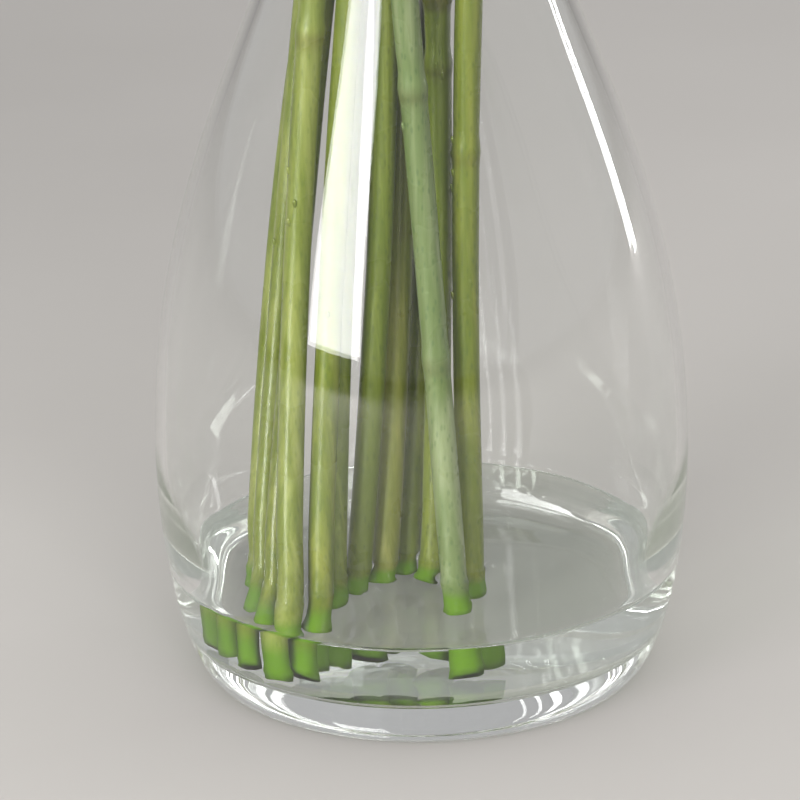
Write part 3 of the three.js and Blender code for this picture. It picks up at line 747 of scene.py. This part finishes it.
bloom_stems = [number for number in range(len(stems)) if number not in bud_stems]
for count, owner in enumerate(bloom_stems):
    place = head_matrix(stem_routes[owner][1], 30 * count)
    opened = 0.96 + 0.04 * math.sin(2.4 * count + 1)
    bm = bmesh.new()
    bm.loops.layers.uv.new("UVMap")
    for side in range(6):
        layer, width = ((-tepal_layer, inner_tepal_width), (tepal_layer, outer_tepal_width))[side % 2]
        mood = 5 * count + 2.1 * side
        droop = 0.004 * math.sin(mood)
        corners = (
            flat(0.6 * receptacle_radius + 0.7 * layer, 0.006),
            flat(0.12 * bloom_radius + layer, 0.75 * bloom_depth),
            flat(0.6 * bloom_radius * opened + layer, 1.25 * bloom_depth - droop),
            flat(bloom_radius * opened, 0.72 * bloom_depth - 1.5 * droop))

        def tepal_lift(across, t, mood=mood):
            cup = 0.0022 * across * across * math.sin(math.pi * t)
            groove = 0.0016 * bell(across, 0.13) * math.sin(math.pi * min(1, 1.1 * t))
            ruffle = 0.0021 * abs(across) ** 3 * math.sin(17 * t + mood) * t
            return cup - groove + ruffle + 0.0018 * across * t * math.sin(4 * t + mood)

        turn = Matrix.Rotation(math.radians(60 * side), 4, "Z")
        blade(bm, corners, width, tepal_outline, tepal_lift, (12, 26), place @ turn, wrapped=True)
    petals = piece_of(f"bloom_{count + 1:02d}_tepals", bm)
    petals.data.materials.append(petal_white)
    thicken(petals, 0.0008, 1)

    bm = bmesh.new()
    pale = bm.verts.layers.float.new("pale")
    heights = [0.0003 + 0.0103 * k / 8 for k in range(9)]
    swell = [0.0026 + 0.0042 * (k / 8) ** 0.7 for k in range(9)]
    heights += [0.0118 + 0.0722 * k / 20 for k in range(21)]
    swell += [0.0021 - 0.0005 * k / 20 for k in range(21)]
    heights += [0.0848, 0.0856, 0.0863, 0.0868]
    swell += [0.0024, 0.0033, 0.0036, 0.0028]
    lean = Vector((0.0035 * math.sin(count), 0.0035 * math.cos(count), 0))
    middle_line = [Vector((0, 0, height)) + lean * max(0, height / 0.0868) ** 2 for height in heights]
    for ring, height in zip(sweep(bm, middle_line, swell, 18), heights):
        for vert in ring:
            off = vert.co.xy - middle_line[heights.index(height)].xy
            lobed = 0.2 * math.cos(3 * math.atan2(off.y, off.x)) * (height > 0.0845)
            vert.co += lobed * Vector((off.x, off.y, 0))
            vert[pale] = min(1, max(0, (height - 0.012) / 0.03))
    for side in range(6):
        angle = math.radians(60 * side + 30)
        out = Vector((math.cos(angle), math.sin(angle), 0))
        spread = 0.019 + 0.003 * math.sin(3 * count + side)
        tall = 0.072 + 0.004 * math.sin(count + 2.3 * side)
        path = interpolate_bezier(
            0.0035 * out + Vector((0, 0, 0.010)), 0.005 * out + Vector((0, 0, 0.4 * tall)),
            0.5 * spread * out + Vector((0, 0, 0.75 * tall)), spread * out + Vector((0, 0, tall)), 18)
        for ring, spot in zip(sweep(bm, path, [0.001 - 0.0004 * k / 17 for k in range(18)], 8), path):
            for vert in ring:
                vert[pale] = min(1, max(0, (spot.z - 0.01) / 0.04))
    bmesh.ops.recalc_face_normals(bm, faces=bm.faces)
    bmesh.ops.transform(bm, matrix=place, verts=bm.verts)
    heart = piece_of(f"bloom_{count + 1:02d}_heart", bm)
    heart.data.materials.append(throat_green)

    bm = bmesh.new()
    for side in range(6):
        angle = math.radians(60 * side + 30)
        spread = 0.019 + 0.003 * math.sin(3 * count + side)
        tall = 0.072 + 0.004 * math.sin(count + 2.3 * side)
        spot = Matrix.Translation(Vector((spread * math.cos(angle), spread * math.sin(angle), tall + 0.0012)))
        spot = spot @ Matrix.Rotation(angle + 0.35 * math.sin(side + count), 4, "Z")
        spot = spot @ Matrix.Rotation(0.5 * math.sin(2 * side + count), 4, "X")
        made = bmesh.ops.create_uvsphere(bm, u_segments=12, v_segments=16, radius=1)["verts"]
        for vert in made:
            along, round_x, round_y = vert.co.z, vert.co.x, vert.co.y
            groove = 1 - 0.35 * bell(round_y, 0.35) * (round_x > 0)
            fat = (1 - abs(along) ** 6) ** 0.3 if abs(along) < 1 else 0
            narrow = max(1e-6, math.hypot(round_x, round_y))
            vert.co = Vector((round_y / narrow * 0.0016 * fat * groove, along * 0.0065,
                              round_x / narrow * 0.0013 * fat * groove - 0.0012 * along * along))
            if narrow < 1e-5:
                vert.co.x = vert.co.z = 0
                vert.co.z = -0.0012
        bmesh.ops.transform(bm, matrix=place @ spot, verts=made)
    bmesh.ops.remove_doubles(bm, verts=bm.verts, dist=1e-6)
    bmesh.ops.recalc_face_normals(bm, faces=bm.faces)
    anthers = piece_of(f"bloom_{count + 1:02d}_anthers", bm)
    anthers.data.materials.append(pollen)
    for piece, finish in ((petals, "petal_white"), (heart, "stem_green"), (anthers, "petal_white")):
        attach(piece, "root")
        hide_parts(f"bloom_{count + 1:02d}")


# ---- Buds ----
# Eight closed buds: two end their own stems and six stand on side stalks. Six tepals are still folded
# together, so each bud has three broad ribs with seams between them, green below and paler at the tip.
bud_green, tree, shader = material_of("bud_green")
coords = add_node(tree, "TexCoord")
ripe = add_node(tree, "Attribute", attribute_name="ripe")
rib = add_node(tree, "Attribute", attribute_name="rib")
tone = add_node(tree, "TexNoise", {"Scale": 90.0, "Detail": 4.0})
tree.links.new(coords.outputs["Object"], tone.inputs["Vector"])
young = blend(tree, "MIX", tone.outputs["Fac"], (0.20, 0.34, 0.08, 1), (0.36, 0.48, 0.16, 1))
creamy = blend(tree, "MIX", ripe.outputs["Fac"], young, (0.74, 0.79, 0.52, 1))
tree.links.new(blend(tree, "MIX", rib.outputs["Fac"], creamy, (0.25, 0.38, 0.1, 1)), shader.inputs["Base Color"])
tree.links.new(ramp(tree, tone.outputs["Fac"], 0.3, 0.7, 0.38, 0.52), shader.inputs["Roughness"])
bump = add_node(tree, "Bump", {"Strength": 0.2, "Distance": 0.0005})
tree.links.new(tone.outputs["Fac"], bump.inputs["Height"])
tree.links.new(bump.outputs["Normal"], shader.inputs["Normal"])
shader.inputs["Subsurface Weight"].default_value = 0.2
shader.inputs["Subsurface Radius"].default_value = (0.8, 1.0, 0.4)
shader.inputs["Subsurface Scale"].default_value = 0.002

bud_routes = [stem_routes[number][1] for number in bud_stems] + stalk_routes
for number, corners in enumerate(bud_routes):
    bm = bmesh.new()
    ripe = bm.verts.layers.float.new("ripe")
    rib = bm.verts.layers.float.new("rib")
    size = 1 - 0.05 * (number % 3)
    side_line = interpolate_bezier(flat(0.0032, 0.0003), flat(0.011, 0.0204), flat(0.0125, 0.0544), flat(0.002, 0.0666), 34)
    rows = sweep(bm, [Vector((0, 0, point.z * size)) for point in side_line], [point.x * size for point in side_line], 36)
    for point, ring in zip(side_line, rows):
        up = point.z / 0.0666
        for vert in ring:
            angle = math.atan2(vert.co.y, vert.co.x) + 0.25 * up
            lobe = math.cos(3 * angle)
            seam = bell(math.sin(1.5 * angle + 0.5 * math.pi), 0.12)
            vert.co.xy *= 1 + (0.07 * lobe - 0.1 * seam) * math.sin(math.pi * min(1, up + 0.05)) ** 0.5
            vert[ripe] = min(1, max(0, 1.25 * up - 0.2))
            vert[rib] = 0.55 * max(0, lobe) ** 6 * (1 - 0.5 * up)
    bmesh.ops.recalc_face_normals(bm, faces=bm.faces)
    bmesh.ops.transform(bm, matrix=head_matrix(corners, 40 * number), verts=bm.verts)
    bud = piece_of(f"bud_{number + 1:02d}_folded", bm)
    bud.data.materials.append(bud_green)
    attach(bud, "root")
    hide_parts(f"bud_{number + 1:02d}")


# ---- Table and light ----
# The bunch stands on a pale warm grey table. A tall soft lamp stands close at the front left and a
# narrow one behind on the right, as beside a studio window, under an even grey room.
bm = bmesh.new()
bmesh.ops.create_grid(bm, x_segments=8, y_segments=8, size=6)
bmesh.ops.translate(bm, vec=(0, 0, -0.0004), verts=bm.verts)
table = piece_of("table_top", bm)
stone, tree, shader = material_of("pale_table")
coords = add_node(tree, "TexCoord")
cloud = add_node(tree, "TexNoise", {"Scale": 7.0, "Detail": 5.0})
tree.links.new(coords.outputs["Object"], cloud.inputs["Vector"])
tree.links.new(blend(tree, "MIX", cloud.outputs["Fac"], (0.50, 0.475, 0.45, 1), (0.54, 0.515, 0.49, 1)),
               shader.inputs["Base Color"])
shader.inputs["Roughness"].default_value = 0.75
table.data.materials.append(stone)

scene = bpy.context.scene
room = bpy.data.worlds.new("studio_room")
room.use_nodes = True
room.node_tree.nodes["Background"].inputs["Color"].default_value = (0.98, 0.99, 1.0, 1)
room.node_tree.nodes["Background"].inputs["Strength"].default_value = 0.45
scene.world = room


def soft_lamp(name, place, facing, wide, tall, power):
    lamp = bpy.data.lights.new(name, "AREA")
    lamp.shape = "RECTANGLE"
    lamp.size, lamp.size_y, lamp.energy = wide, tall, power
    holder = bpy.data.objects.new(name, lamp)
    look = (Vector(facing) - Vector(place)).to_track_quat("-Z", "Y")
    holder.matrix_world = Matrix.Translation(place) @ look.to_matrix().to_4x4()
    scene.collection.objects.link(holder)
    return holder


soft_lamp("front_left_window", (-0.97, -1.25, 0.71), (0, 0, 0.35), 0.68, 1.15, 24)
soft_lamp("right_strip", (1.3, 0.75, 0.25), (0, 0, 0.1), 0.08, 0.6, 2.5)
soft_lamp("ceiling_panel", (0.1, 0.1, 1.9), (0, 0, 0), 1.6, 1.6, 8)
soft_lamp("high_front_fill", (0.45, -1.5, 1.5), (0, 0, 0.12), 1.1, 0.8, 24)

# The camera looks a little down on the vase, leaning very slightly to one side
pitch, lean, distance = math.radians(20.965), math.radians(1.235), 1.5
aim = Vector((-0.00632, 0, 0.08436))
camera_data = bpy.data.cameras.new("studio_camera")
camera_data.sensor_width = 36
camera_data.lens = 221.25
camera_data.clip_end = 50
camera = bpy.data.objects.new("studio_camera", camera_data)
away = Vector((0, -math.cos(pitch), math.sin(pitch)))
up = Vector((0, math.sin(pitch), math.cos(pitch)))
right = Vector((1, 0, 0))
tilted_right = math.cos(lean) * right - math.sin(lean) * up
tilted_up = math.sin(lean) * right + math.cos(lean) * up
pose = Matrix((tilted_right, tilted_up, away)).transposed().to_4x4()
camera.matrix_world = Matrix.Translation(aim + distance * away) @ pose
scene.collection.objects.link(camera)
scene.camera = camera
scene.view_settings.view_transform = "Standard"
scene.cycles.caustics_reflective = False
scene.cycles.caustics_refractive = False
scene.cycles.max_bounces = 24
scene.cycles.transmission_bounces = 24
scene.cycles.transparent_max_bounces = 24
scene.cycles.glossy_bounces = 24
